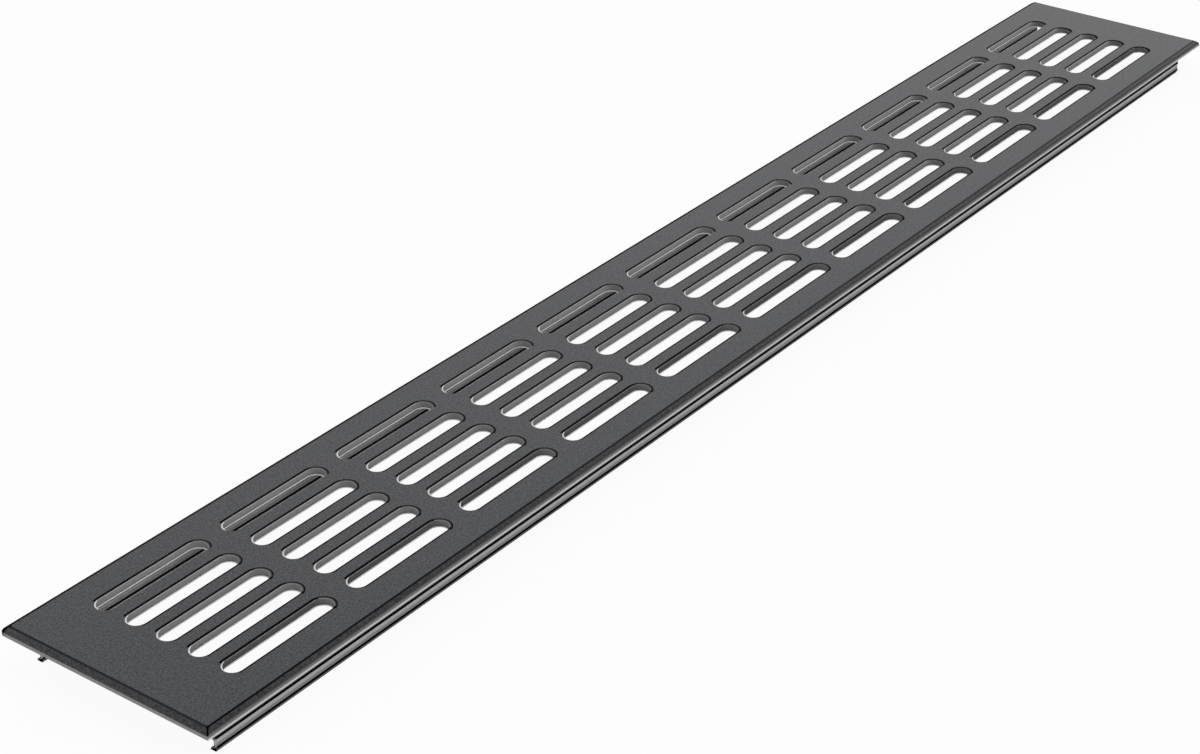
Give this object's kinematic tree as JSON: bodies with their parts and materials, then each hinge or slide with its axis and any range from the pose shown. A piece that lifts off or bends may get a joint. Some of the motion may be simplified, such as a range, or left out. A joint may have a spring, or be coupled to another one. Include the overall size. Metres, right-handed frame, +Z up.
{
  "type": "door transfer grille",
  "caption": "Long flat extruded ventilation grille with bevelled edges, rows of oblong slots and two clip legs under it.",
  "frame": {"origin": "middle of the plane of the two feet, under the centre of the face", "axes": "+X along the length, +Y across towards the side that the larger barbs point to, +Z up through the face"},
  "size_m": [0.57, 0.08, 0.0134],
  "materials": {
    "coating": "matt, finely textured dark grey coating"
  },
  "bodies": {
    "root": {"grille": "coating"}
  },
  "joints": []
}
